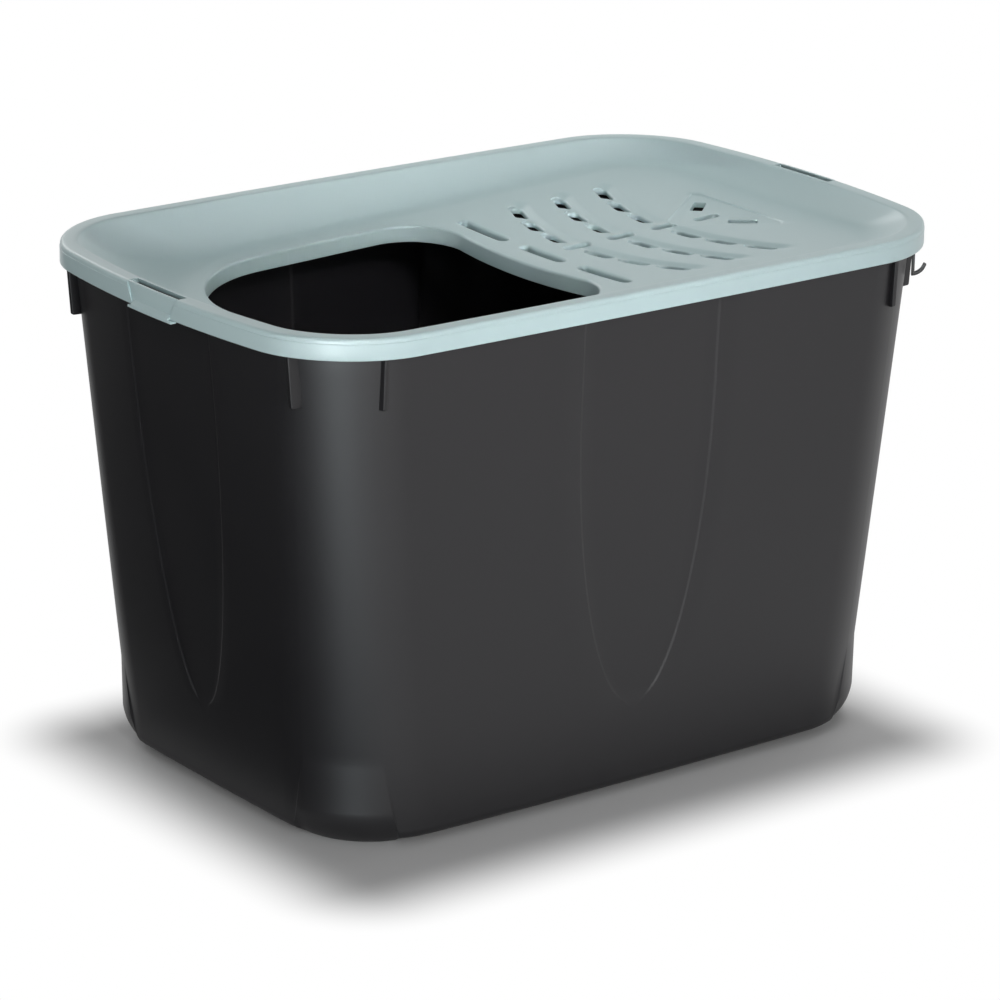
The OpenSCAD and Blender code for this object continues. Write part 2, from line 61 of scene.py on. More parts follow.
def mix(a, b, t):
    return a * (1 - t) + b * t


# a ring has 31 points along each side and 31 round each corner, closer where a feature ends
edgeSteps = np.array([0.25, 0.5, 0.75])
sideRun, reliefRun = 7, 11  # points beside a relief, and across it
cornerRun, footRun = 6, 13  # points beside a foot, and across it
ringRun = 2 * (sideRun + len(edgeSteps)) + reliefRun
reliefEdge = 1.5  # half width of the edge of a relief
footEdge = 1.7  # the same for a foot, in degrees round its corner
footMiddle = 39.5  # degrees round the corner
evenCorner = np.linspace(0, 90, ringRun)
noPush = np.zeros(ringRun)


def masked(plain, full):
    rise = smoothStep(edgeSteps)
    return np.concatenate([np.zeros(plain), rise, np.ones(full), rise[::-1], np.zeros(plain)])


sideMask = masked(sideRun, reliefRun)
footMask = np.tile(np.concatenate([noPush, masked(cornerRun, footRun)]), 4)
besideFoot = np.ones(cornerRun + len(edgeSteps))
footAcross = np.concatenate([-besideFoot, np.linspace(-1, 1, footRun), besideFoot])


def sideStops(half, feature):
    outer = np.linspace(-half, -(feature + reliefEdge), sideRun + 1)[1:]
    edge = -feature - reliefEdge + 2 * reliefEdge * edgeSteps
    inner = np.linspace(-(feature - reliefEdge), feature - reliefEdge, reliefRun)
    return np.concatenate([outer, edge, inner, -edge[::-1], -outer[::-1]])


def footAngles(width):
    low, high = footMiddle - width - footEdge, footMiddle + width + footEdge
    return np.concatenate([
        np.linspace(0, low, cornerRun), low + footEdge * edgeSteps,
        np.linspace(footMiddle - width, footMiddle + width, footRun),
        high - footEdge * edgeSteps[::-1], np.linspace(high, 90, cornerRun)])


def outlineRing(x0, x1, halfWidth, cornerLeft, cornerRight, bows, features,
                depth=0.0, angles=evenCorner, cornerPush=noPush):
    middle = (x0 + cornerLeft + x1 - cornerRight) / 2
    halfSide = (x1 - cornerRight - x0 - cornerLeft) / 2
    right = sideStops(halfWidth - cornerRight, features[0])
    left = sideStops(halfWidth - cornerLeft, features[0])
    side = sideStops(halfSide, features[1])
    inset = depth * sideMask
    back = 90 - angles[::-1]

    def corner(cx, cy, r, start, turns, push):
        a = np.radians(start + turns)
        return np.stack([cx + (r + push) * np.cos(a), cy + (r + push) * np.sin(a)], 1)

    lx, ly = x0 + cornerLeft, halfWidth - cornerLeft
    rx, ry = x1 - cornerRight, halfWidth - cornerRight
    ring = np.concatenate([
        np.stack([x1 - inset, right], 1),
        corner(rx, ry, cornerRight, 0, angles, cornerPush),
        np.stack([middle - side, halfWidth - inset], 1),
        corner(lx, ly, cornerLeft, 90, back, cornerPush[::-1]),
        np.stack([x0 + inset, -left], 1),
        corner(lx, -ly, cornerLeft, 180, angles, cornerPush),
        np.stack([middle + side, inset - halfWidth], 1),
        corner(rx, -ry, cornerRight, 270, back, cornerPush[::-1])])
    halfLength = (x1 - x0) / 2
    out = ring.copy()
    out[:, 0] += ring[:, 0] * bows[0] / halfLength * (1 - (ring[:, 1] / halfWidth) ** 2)
    out[:, 1] += ring[:, 1] * bows[1] / halfWidth * (1 - (ring[:, 0] / halfLength) ** 2)
    return out


def level(ring, z):
    return np.column_stack([ring, np.broadcast_to(np.asarray(z, float), (len(ring),))])


# a closed skin through rings of equal length, capped at both ends or joined into a loop
def loftMesh(name, rings, loop=False):
    n, m = len(rings[0]), len(rings)
    faces = []
    for j in range(m if loop else m - 1):
        a, b = j * n, (j + 1) % m * n
        faces += [(a + i, a + (i + 1) % n, b + (i + 1) % n, b + i) for i in range(n)]
    if not loop:
        faces.append(tuple(range(n - 1, -1, -1)))
        faces.append(tuple(range((m - 1) * n, m * n)))
    mesh = bpy.data.meshes.new(name)
    mesh.from_pydata((np.concatenate(rings) * mm).tolist(), [], faces)
    bm = bmesh.new()
    bm.from_mesh(mesh)
    bmesh.ops.recalc_face_normals(bm, faces=bm.faces)
    bm.to_mesh(mesh)
    bm.free()
    return mesh


def newObject(name, mesh):
    obj = bpy.data.objects.new(name, mesh)
    bpy.context.scene.collection.objects.link(obj)
    return obj


# a polygon pushed along an axis, with its sharp edges rounded
def prism(name, outline, span, axis="x", rounding=0.0):
    flattest = math.radians(28)  # edges that turn less stay as they are
    place = {"x": lambda u, v, w: (w, u, v), "y": lambda u, v, w: (u, w, v)}[axis]
    n = len(outline)
    bm = bmesh.new()
    made = [bm.verts.new(Vector(place(u, v, w)) * mm) for w in span for u, v in outline]
    bm.faces.new(made[:n])
    bm.faces.new(made[:n - 1:-1])
    for i in range(n):
        k = (i + 1) % n
        bm.faces.new([made[i], made[n + i], made[n + k], made[k]])
    bmesh.ops.recalc_face_normals(bm, faces=bm.faces)
    if rounding:
        sharp = [e for e in bm.edges if e.calc_face_angle(0) > flattest]
        bmesh.ops.bevel(bm, geom=sharp, offset=rounding * mm, offset_type="OFFSET", segments=3,
                        profile=0.5, affect="EDGES", clamp_overlap=True)
    mesh = bpy.data.meshes.new(name)
    bm.to_mesh(mesh)
    bm.free()
    return mesh


def box(name, x, y, z, rounding=0.0):
    return prism(name, [(y[0], z[0]), (y[1], z[0]), (y[1], z[1]), (y[0], z[1])], x, "x", rounding)


def settle(obj):
    graph = bpy.context.evaluated_depsgraph_get()
    graph.update()
    mesh = bpy.data.meshes.new_from_object(obj.evaluated_get(graph))
    obj.modifiers.clear()
    obj.data = mesh


def combine(obj, other, operation):
    step = obj.modifiers.new("combine", "BOOLEAN")
    step.operation = operation
    step.solver = "MANIFOLD"
    step.object = other
    settle(obj)
    bpy.data.objects.remove(other)


def united(name, meshes):
    obj = newObject(name, meshes[0])
    for mesh in meshes[1:]:
        combine(obj, newObject("part", mesh), "UNION")
    return obj


def mirrored(mesh):
    mesh.transform(Matrix.Scale(-1, 4, (1, 0, 0)))
    mesh.flip_normals()
    return mesh


# a bowed outline's point at an angle round its +X +Y corner
def cornerPoint(sizes, angle):
    hx, hy, r, bowX, bowY = sizes
    x = hx - r + r * math.cos(angle)
    y = hy - r + r * math.sin(angle)
    return x + x * bowX / hx * (1 - (y / hy) ** 2), y + y * bowY / hy * (1 - (x / hx) ** 2)


# a node group with named sockets, the given values and the sockets for its results
def newGroup(kind, name, inputs, outputs):
    group = bpy.data.node_groups.new(name, kind)
    for label, socket, value in inputs:
        item = group.interface.new_socket(label, in_out="INPUT", socket_type="NodeSocket" + socket)
        if value is not None:
            item.default_value = value
    for label, socket in outputs:
        group.interface.new_socket(label, in_out="OUTPUT", socket_type="NodeSocket" + socket)
    return group, group.nodes.new("NodeGroupInput").outputs, group.nodes.new("NodeGroupOutput").inputs


def newTree(name, sockets):
    shape = ("Geometry", "Geometry")
    return newGroup("GeometryNodeTree", name, [(*shape, None)] + sockets, [shape])


# gives a node's inputs a link or a value each
def feed(tree, node, inputs):
    for key, value in inputs.items():
        if isinstance(value, bpy.types.NodeSocket):
            tree.links.new(value, node.inputs[key])
        else:
            node.inputs[key].default_value = value
    return node


def addNode(tree, kind, inputs):
    return feed(tree, tree.nodes.new(kind), inputs)


def calc(tree, operation, *values):
    node = addNode(tree, "ShaderNodeMath", dict(enumerate(values)))
    node.operation = operation
    return node.outputs[0]


def combineXyz(tree, **parts):
    return addNode(tree, "ShaderNodeCombineXYZ", parts).outputs[0]


def splitXyz(tree, vector):
    return addNode(tree, "ShaderNodeSeparateXYZ", {0: vector}).outputs


floorSockets = [("Floor Height", "Float", 0.36), ("Floor Start", "Float", 0.04),
                ("Floor Slope", "Float", 0.04), ("Trough Radius", "Float", 2.0)]


# lifts every point to the dished floor at its place
def followFloor(tree, given, geometry):
    x, y, _ = splitXyz(tree, tree.nodes.new("GeometryNodeInputPosition").outputs[0])
    fall = calc(tree, "MULTIPLY", calc(tree, "SUBTRACT", x, given["Floor Start"]), given["Floor Slope"])
    diameter = calc(tree, "MULTIPLY", given["Trough Radius"], 2.0)
    across = calc(tree, "DIVIDE", calc(tree, "MULTIPLY", y, y), diameter)
    height = calc(tree, "ADD", given["Floor Height"], calc(tree, "ADD", fall, across))
    lift = combineXyz(tree, Z=height)
    return addNode(tree, "GeometryNodeSetPosition", {"Geometry": geometry, "Offset": lift}).outputs[0]


# puts the piece on every point, turned by its angle, and ends the tree
def placeAndFinish(tree, given, result, points, turn, onFloor):
    piece = addNode(tree, "GeometryNodeObjectInfo", {"Object": given["Piece"]}).outputs["Geometry"]
    put = addNode(tree, "GeometryNodeInstanceOnPoints",
                  {"Points": points, "Instance": piece, "Rotation": combineXyz(tree, Z=turn)})
    placed = addNode(tree, "GeometryNodeRealizeInstances", {0: put.outputs[0]}).outputs[0]
    if onFloor:
        placed = followFloor(tree, given, placed)
    paint = addNode(tree, "GeometryNodeSetMaterial", {"Geometry": placed, "Material": given["Material"]})
    tree.links.new(paint.outputs[0], result[0])
    return tree


# curved rows of slots on both sides of a spine
def slotRowsTree():
    tree, given, result = newTree("slotRows", [
        ("Piece", "Object", None), ("Rows", "Int", 3), ("Per Side", "Int", 3), ("First Row", "Float", 0.07),
        ("Row Pitch", "Float", 0.04), ("Row Radius", "Float", 0.25), ("First Slot", "Float", 0.03),
        ("Slot Pitch", "Float", 0.03)] + floorSockets + [("Material", "Material", None)])
    perRow = calc(tree, "MULTIPLY", given["Per Side"], 2.0)
    points = addNode(tree, "GeometryNodePoints", {"Count": calc(tree, "MULTIPLY", given["Rows"], perRow)})
    index = tree.nodes.new("GeometryNodeInputIndex").outputs[0]
    row = calc(tree, "FLOOR", calc(tree, "DIVIDE", calc(tree, "ADD", index, 0.5), perRow))
    within = calc(tree, "SUBTRACT", index, calc(tree, "MULTIPLY", row, perRow))
    farSide = calc(tree, "GREATER_THAN", within, calc(tree, "SUBTRACT", given["Per Side"], 0.5))
    sign = calc(tree, "SUBTRACT", calc(tree, "MULTIPLY", farSide, 2.0), 1.0)
    order = calc(tree, "SUBTRACT", within, calc(tree, "MULTIPLY", farSide, given["Per Side"]))
    reach = calc(tree, "ADD", given["First Slot"], calc(tree, "MULTIPLY", order, given["Slot Pitch"]))
    angle = calc(tree, "DIVIDE", calc(tree, "MULTIPLY", reach, sign), given["Row Radius"])
    rowX = calc(tree, "ADD", given["First Row"], calc(tree, "MULTIPLY", row, given["Row Pitch"]))
    lost = calc(tree, "SUBTRACT", 1.0, calc(tree, "COSINE", angle))
    sag = calc(tree, "MULTIPLY", given["Row Radius"], lost)
    across = calc(tree, "MULTIPLY", given["Row Radius"], calc(tree, "SINE", angle))
    spot = combineXyz(tree, X=calc(tree, "ADD", rowX, sag), Y=across)
    place = addNode(tree, "GeometryNodeSetPosition", {"Geometry": points.outputs[0], "Position": spot})
    turn = calc(tree, "SUBTRACT", math.pi / 2, angle)
    return placeAndFinish(tree, given, result, place.outputs[0], turn, True)


# copies of a piece at a mesh's points, each turned by the point's own angle
def placedTree(name, onFloor):
    floor = floorSockets if onFloor else []
    sockets = [("Piece", "Object", None)] + floor + [("Material", "Material", None)]
    tree, given, result = newTree(name, sockets)
    turn = tree.nodes.new("GeometryNodeInputNamedAttribute")
    turn.data_type = "FLOAT"
    turn.inputs["Name"].default_value = "turn"
    return placeAndFinish(tree, given, result, given["Geometry"], turn.outputs["Attribute"], onFloor)


def runTree(name, tree, values, carrier=None):
    obj = newObject(name, carrier or bpy.data.meshes.new(name))
    step = obj.modifiers.new("nodes", "NODES")
    step.node_group = tree
    for item in tree.interface.items_tree:
        if item.item_type == "SOCKET" and item.in_out == "INPUT" and item.name in values:
            step[item.identifier] = values[item.name]
    settle(obj)
    return obj


def pointCarrier(name, spots):
    mesh = bpy.data.meshes.new(name)
    mesh.from_pydata([(x * mm, y * mm, z * mm) for x, y, z, _ in spots], [], [])
    turn = mesh.attributes.new("turn", "FLOAT", "POINT")
    turn.data.foreach_set("value", [math.radians(degrees) for *_, degrees in spots])
    return mesh


def noise(group, vector, scale, detail, roughness):
    node = addNode(group, "ShaderNodeTexNoise",
                   {"Vector": vector, "Scale": scale, "Detail": detail, "Roughness": roughness})
    return node.outputs["Fac"]


def blendColors(group, share, first, second):
    node = group.nodes.new("ShaderNodeMix")
    node.data_type = "RGBA"
    for socket, value in zip(("Factor_Float", "A_Color", "B_Color"), (share, first, second)):
        group.links.new(value, next(s for s in node.inputs if s.identifier == socket))
    return next(s for s in node.outputs if s.identifier == "Result_Color")


# the fine pitting of an eroded mould, and a gloss that changes a little over the surface
def makeGrainGroup():
    group, given, result = newGroup("ShaderNodeTree", "mouldGrain", [
        ("Vector", "Vector", (0, 0, 0)), ("Scale", "Float", 900.0), ("Gloss", "Float", 0.4),
        ("Gloss Change", "Float", 0.06)], [("Height", "Float"), ("Roughness", "Float")])
    fine = noise(group, given["Vector"], given["Scale"], detail=3.0, roughness=0.6)
    cells = addNode(group, "ShaderNodeTexVoronoi", {"Vector": given["Vector"], "Scale": given["Scale"]})
    pits = calc(group, "MULTIPLY", cells.outputs["Distance"], 0.5)
    group.links.new(calc(group, "ADD", fine, pits), result["Height"])
    broad = noise(group, given["Vector"], scale=14.0, detail=3.0, roughness=0.55)
    change = calc(group, "MULTIPLY", calc(group, "SUBTRACT", broad, 0.5), given["Gloss Change"])
    group.links.new(calc(group, "ADD", given["Gloss"], change), result["Roughness"])
    return group


# faint clouds in a moulding's colour, and a touch of dust that settles low down
def makeToneGroup():
    group, given, result = newGroup("ShaderNodeTree", "mouldTone", [
        ("Vector", "Vector", (0, 0, 0)), ("Color", "Color", (0.5, 0.5, 0.5, 1)),
        ("Cloud Color", "Color", (0.55, 0.55, 0.55, 1)), ("Cloud", "Float", 0.5),
        ("Dust Color", "Color", (0.6, 0.58, 0.55, 1)), ("Dust", "Float", 0.03),
        ("Dust Height", "Float", 0.05)], [("Color", "Color")])
    patches = noise(group, given["Vector"], scale=7.0, detail=4.0, roughness=0.55)
    clouds = calc(group, "MULTIPLY", patches, given["Cloud"])
    toned = blendColors(group, clouds, given["Color"], given["Cloud Color"])
    height = splitXyz(group, given["Vector"])["Z"]
    low = calc(group, "SUBTRACT", 1.0, calc(group, "DIVIDE", height, given["Dust Height"]))
    grit = noise(group, given["Vector"], scale=60.0, detail=4.0, roughness=0.7)
    specks = calc(group, "MULTIPLY", calc(group, "MAXIMUM", low, 0.0), grit)
    dusty = blendColors(group, calc(group, "MULTIPLY", specks, given["Dust"]), toned, given["Dust Color"])
    group.links.new(dusty, result["Color"])
    return group


grainGroup = makeGrainGroup()
toneGroup = makeToneGroup()

finishes = {
    "sagePlastic": {"color": (0.500, 0.648, 0.662), "cloud": (0.520, 0.668, 0.680), "gloss": 0.34,
                    "grain": 850.0, "depth": 0.00003, "specular": 0.5, "dust": 0.0},
    "anthracitePlastic": {"color": (0.0085, 0.0080, 0.0095), "cloud": (0.0120, 0.0115, 0.0130), "gloss": 0.46,
                          "grain": 1100.0, "depth": 0.00003, "specular": 0.40, "dust": 0.015},
    "hookPlastic": {"color": (0.016, 0.016, 0.017), "cloud": (0.022, 0.021, 0.020), "gloss": 0.36,
                    "grain": 1500.0, "depth": 0.00002, "specular": 0.4, "dust": 0.0},
}


def plastic(name, look):
    material = bpy.data.materials.new(name)
    material.use_nodes = True
    tree = material.node_tree
    place = tree.nodes.new("ShaderNodeTexCoord").outputs["Object"]
    tone, grain = (tree.nodes.new("ShaderNodeGroup") for _ in range(2))
    tone.node_tree, grain.node_tree = toneGroup, grainGroup
    feed(tree, tone, {"Vector": place, "Color": (*look["color"], 1), "Cloud Color": (*look["cloud"], 1),
                      "Dust": look["dust"]})
    feed(tree, grain, {"Vector": place, "Scale": look["grain"], "Gloss": look["gloss"]})
    bump = addNode(tree, "ShaderNodeBump", {"Height": grain.outputs["Height"], "Distance": look["depth"],
                                            "Strength": 0.6})
    feed(tree, tree.nodes["Principled BSDF"], {
        "Base Color": tone.outputs["Color"], "Roughness": grain.outputs["Roughness"],
        "Specular IOR Level": look["specular"], "Normal": bump.outputs["Normal"]})
    return material


materials = {name: plastic(name, look) for name, look in finishes.items()}
print("finishes ready:", ", ".join(materials))

lid = {
    "skirtThickness": 2.4,
    "skirtEdge": 0.4,
    "rimThickness": 2.8,
    "edgeRound": 2.4,
    "creaseDrop": 3.9,  # a fine step runs round the skirt this far below the top
    "creaseDepth": 0.3,
    "band": 12.5,
    "bandDrop": 0.3,  # the small round of the band's inner edge
    "bandReach": 0.9,
    "slopeRun": 45.0,
    "slopePower": 1.8,  # a higher power makes the slope steeper at the band
    "wall": 2.5,
    "floorDepth": 26.2,
    "floorStart": 42.5,
    "floorTilt": 2.16,
    "troughRadius": 2049.0,
    "floorLeft": -230.0,
    "floorRight": 258.0,
    "floorHalfWidth": 133.0,
    "floorCornerLeft": 101.0,
    "floorCornerRight": 50.0,
    "openLeft": -214.0,
    "openRight": 23.0,
    "openHalfWidth": 121.0,
    "openCornerLeft": 86.0,
    "openCornerRight": 45.0,
    "openBulge": 5.0,
    "openStops": (20.0, 40.0),
    "collarDepth": 12.0,
    "collarWall": 2.2,
    "collarRound": 2.0,
    "endFeature": 29.5,
    "sideFeature": 60.0,
}
floorHeight = shell["rimTop"] - lid["floorDepth"]
floorSlope = math.tan(math.radians(lid["floorTilt"]))
seatHeight = shell["rimTop"] - lid["rimThickness"]


def rimRing(e, z, features=(lid["endFeature"], lid["sideFeature"]), angles=evenCorner):
    s = shell
    ring = outlineRing(e - s["halfLength"], s["halfLength"] - e, s["halfWidth"] - e, s["corner"] - e,
                       s["corner"] - e, (s["endBow"], s["sideBow"]), features, 0, angles)
    return level(ring, z)


def floorAt(x, y):
    return floorHeight + (x - lid["floorStart"]) * floorSlope + y * y / (2 * lid["troughRadius"])


def onFloor(ring, drop):
    return level(ring, floorAt(ring[:, 0], ring[:, 1]) - drop)


def floorRing():
    return outlineRing(lid["floorLeft"], lid["floorRight"], lid["floorHalfWidth"], lid["floorCornerLeft"],
                       lid["floorCornerRight"], (0, 0), (lid["endFeature"], lid["sideFeature"]))


# the entry opening's outline, widened by e, with its right edge bulged in
def openingRing(e):
    ring = outlineRing(lid["openLeft"] - e, lid["openRight"] + e, lid["openHalfWidth"] + e,
                       lid["openCornerLeft"] + e, lid["openCornerRight"] + e, (0, 0), lid["openStops"])
    half = lid["openHalfWidth"] - lid["openCornerRight"]
    inside = (np.abs(ring[:, 1]) < half) & (ring[:, 0] > 0)
    ring[inside, 0] -= lid["openBulge"] * (1 - (ring[inside, 1] / half) ** 2)
    return ring


# how far the small round of the band's inner edge falls, at a distance from the edge
def edgeDrop(distance):
    return lid["bandDrop"] * math.exp(-(distance / lid["bandReach"]) ** 2)


# a ring of the slope from the rim's band, at 0, down to the floor, at 1
def slopeRing(s, drop):
    foot = floorRing()
    ring = mix(rimRing(lid["band"], 0)[:, :2], foot, s)
    fall = 1 - (1 - s) ** lid["slopePower"]
    height = mix(shell["rimTop"], floorAt(foot[:, 0], foot[:, 1]), fall)
    return level(ring, height - edgeDrop(s * lid["slopeRun"]) - drop)


def lidBody():
    top, skirt, r, t = shell["rimTop"], shell["skirtBottom"], lid["edgeRound"], lid["skirtThickness"]
    crease, step, edge = top - lid["creaseDrop"], lid["creaseDepth"], lid["skirtEdge"]
    middle = skirt + 5
    rings = [rimRing(edge, skirt), rimRing(edge / 4, skirt + edge / 4), rimRing(0, skirt + edge),
             rimRing(0, middle), rimRing(0, crease - step), rimRing(step, crease)]
    for a in np.radians(np.linspace(0, 90, 8)):
        rings.append(rimRing(step + r * (1 - math.cos(a)), top - r * (1 - math.sin(a))))
    for left in (7.5, 3.5, 1.5, 0.8, 0.3):  # across the band, up to its inner edge
        rings.append(rimRing(lid["band"] - left, top - edgeDrop(left)))
    slopeSteps = np.concatenate([[0, 0.008, 0.02, 0.04, 0.08], np.linspace(0.12, 1, 18)])
    rings += [slopeRing(s, 0) for s in slopeSteps]
    foot, r = floorRing(), lid["collarRound"]
    mouth = openingRing(r)
    rings += [onFloor(mix(foot, mouth, s), 0) for s in np.linspace(0, 1, 24)[1:-1]]
    for a in np.radians(np.linspace(0, 90, 9)):
        rings.append(onFloor(openingRing(r * (1 - math.sin(a))), r * (1 - math.cos(a))))
    depth, wall, floor = lid["collarDepth"], lid["collarWall"], lid["wall"]
    root = wall + 3.4
    # down the collar's face and up its back, to the floor's underside
    rings += [onFloor(openingRing(e), drop) for e, drop in (
        (-0.2, depth * 0.6), (-0.38, depth - 0.5), (-0.25, depth - 0.1), (0.1, depth), (wall - 0.9, depth),
        (wall - 0.5, depth - 0.1), (wall - 0.4, depth - 0.5), (wall - 0.1, r + 3), (wall + 0.3, r + 1.4),
        (wall + 1.6, floor + 0.3), (root, floor))]
    under = openingRing(root)
    rings += [onFloor(mix(under, foot, s), floor) for s in np.linspace(0, 1, 12)[1:]]
    rings += [slopeRing(s, floor) for s in np.linspace(1, 0, 14)[1:-1]]
    rings += [rimRing(lid["band"], seatHeight), rimRing(t + 0.6, seatHeight), rimRing(t, seatHeight - 0.6),
              rimRing(t, middle), rimRing(t, skirt + edge), rimRing(t - 0.3, skirt + 0.05)]
    return loftMesh("lidBody", rings, loop=True)


fishGrid = {
    "slotWidth": 8.0,
    "slotLength": 23.5,
    "mouthRound": 2.3,
    "sleeveWall": 1.8,  # the rim of plastic that hangs round each slot under the floor
    "sleeveDepth": 5.0,
    "rows": 3,
    "perSide": 3,
    "rowStart": 73.5,
    "rowPitch": 41.0,
    "rowRadius": 250.0,
    "firstSlot": 27.5,
    "slotPitch": 34.3,
    "spineLength": 22.5,
    "spineShift": 1.0,
    "longX": 42.5,
    "longY": 73.5,
    "longLength": 57.0,
    "longMiddle": 49.0,
    "tailX": 211.0,
    "tailY": 26.5,
    "tailTurn": 42.0,
    "tailLength": 22.0,
    "tailWidth": 9.0,
    "squareRound": 1.6,
    "grooveDepth": 1.9,
    "grooveRamp": 9.0,
    "grooveDeepest": 0.47,  # share of its width, from the slots' near edges
    "grooveFade": 18.0,
    "groovePast": 14.0,
    "recessCentre": 205.0,
    "recessHalf": [(164, 0), (166, 9), (227, 54), (232, 49), (233.5, 20), (234, 0)],
}


def roundedSlot(length, r):
    half = length / 2 - r
    turn = np.linspace(-math.pi / 2, math.pi / 2, 13)
    right = [(half + r * math.cos(a), r * math.sin(a)) for a in turn]
    left = [(-x, -y) for x, y in right]
    run = np.linspace(half, -half, 5)[1:-1]
    return right + [(x, r) for x in run] + left + [(-x, -r) for x in run]


def squareSlot(length, r):
    a, c = length / 2, fishGrid["squareRound"]
    turn = np.linspace(0, math.pi / 2, 6)
    corners = ((a - c, r - c, 0), (c - a, r - c, 1), (c - a, c - r, 2), (a - c, c - r, 3))
    return [(x + c * math.cos(t + q * math.pi / 2), y + c * math.sin(t + q * math.pi / 2))
            for x, y, q in corners for t in turn]


def slotMesh(shape, length, width, profile):
    rings = [level(np.array(shape(length + 2 * grow, width / 2 + grow)), z) for z, grow in profile]
    return loftMesh("slotShape", rings)


# a profile is a list of heights above the floor, each with how far the slot's outline grows there
flare = fishGrid["mouthRound"]
cutProfile = [(-8, 0), (-flare, 0), (-flare * 0.62, flare * 0.08), (-flare * 0.3, flare * 0.3),
              (-flare * 0.08, flare * 0.62), (0, flare), (0.6, flare + 0.4)]
# the slots in the rows open further down, in their valley
rowProfile = [(-8, 0), (-3.9, 0), (-2.9, 0.2), (-2.1, 0.8), (-1.55, 1.6), (-1.3, 2.6), (0, 3.4), (0.6, 3.7)]
sleeveProfile = [(-fishGrid["sleeveDepth"], fishGrid["sleeveWall"] - 0.4),
                 (0.4 - fishGrid["sleeveDepth"], fishGrid["sleeveWall"]), (-2.4, fishGrid["sleeveWall"])]


# a curved valley along a row, deepest at the slots' far edges, that fades at the spine and past the last slot
def grooveMesh(x0):
    g = fishGrid
    lastSlot = g["firstSlot"] + (g["perSide"] - 1) * g["slotPitch"] + g["slotLength"] / 2
    reach = lastSlot + g["groovePast"]
    near = g["rowRadius"] + g["slotWidth"] / 2
    width, deepest = g["slotWidth"] + g["grooveRamp"], g["grooveDeepest"]
    lap, above, least = 0.06, 1.5, 0.03  # it stands above the floor and never closes up
    rings = []
    for s in np.linspace(-reach, reach, 91):
        fade = smoothStep(abs(s) / g["grooveFade"]) * smoothStep((reach - abs(s)) / g["groovePast"])
        depth = g["grooveDepth"] * max(least, fade)
        ring = []
        for k in np.linspace(0, 1, 15):
            dip = smoothStep(k / deepest) if k < deepest else smoothStep((1 - k) / (1 - deepest))
            ring.append((near - width * k, lap - (depth + lap) * dip))
        ring += [(near - width, above), (near, above)]
        a = s / g["rowRadius"]
        points = np.array([(x0 + g["rowRadius"] - u * math.cos(a), u * math.sin(a), v) for u, v in ring])
        points[:, 2] += floorAt(points[:, 0], points[:, 1])
        rings.append(points)
    return loftMesh("grooveCutter", rings)


# the shallow recess round the tail slots
def tailMesh():
    half = fishGrid["recessHalf"]
    outline = np.array(half + [(x, -y) for x, y in half[-2:0:-1]])[::-1]
    centre = np.array([fishGrid["recessCentre"], 0.0])
    scalesAndHeights = ((0.94, -1.2), (0.965, -1.05), (0.99, -0.3), (1.0, 0.1), (1.01, 1.0))
    rings = []
    for scale, z in scalesAndHeights:
        ring = centre + (outline - centre) * scale
        rings.append(level(ring, floorAt(ring[:, 0], ring[:, 1]) + z))
    return loftMesh("tailCutter", rings)


def buildLid():
    obj = newObject("litterBoxLid", lidBody())
    g = fishGrid
    for row in range(g["rows"]):
        combine(obj, newObject("groove", grooveMesh(g["rowStart"] + row * g["rowPitch"])), "DIFFERENCE")
    combine(obj, newObject("tail", tailMesh()), "DIFFERENCE")
    print("lid body lofted, grooves and tail recess cut")
    shared = {"Floor Height": floorHeight * mm, "Floor Start": lid["floorStart"] * mm,
              "Floor Slope": floorSlope, "Trough Radius": lid["troughRadius"] * mm,
              "Material": materials["sagePlastic"]}
    rowValues = {"Rows": g["rows"], "Per Side": g["perSide"], "First Row": g["rowStart"] * mm,
                 "Row Pitch": g["rowPitch"] * mm, "Row Radius": g["rowRadius"] * mm,
                 "First Slot": g["firstSlot"] * mm, "Slot Pitch": g["slotPitch"] * mm}
    spine = [(g["rowStart"] + i * g["rowPitch"] + g["spineShift"], 0, 0, 0) for i in range(g["rows"] + 1)]
    longOnes = [(g["longX"], s * g["longY"], 0, 90) for s in (-1, 1)]
    tailOnes = [(g["tailX"], s * g["tailY"], 0, s * g["tailTurn"]) for s in (-1, 1)]
    kinds = [
        (roundedSlot, g["spineLength"], g["slotWidth"], spine),
        (roundedSlot, g["longLength"], g["slotWidth"], longOnes),
        (roundedSlot, g["longMiddle"], g["slotWidth"], [(g["longX"], 0, 0, 90)]),
        (squareSlot, g["tailLength"], g["tailWidth"], tailOnes),
    ]
    rowsTree = slotRowsTree()
    spotsTree = placedTree("slotSpots", True)
    for operation, rowShape, profile in (("UNION", sleeveProfile, sleeveProfile),
                                         ("DIFFERENCE", rowProfile, cutProfile)):
        piece = newObject("slot", slotMesh(roundedSlot, g["slotLength"], g["slotWidth"], rowShape))
        combine(obj, runTree("rows", rowsTree, {**shared, **rowValues, "Piece": piece}), operation)
        bpy.data.objects.remove(piece)
        for shape, length, width, spots in kinds:
            piece = newObject("slot", slotMesh(shape, length, width, profile))
            made = runTree("spots", spotsTree, {**shared, "Piece": piece}, pointCarrier("spots", spots))
            combine(obj, made, operation)
            bpy.data.objects.remove(piece)
    print("slots cut through their sleeves:", len(obj.data.polygons), "faces")
    return obj


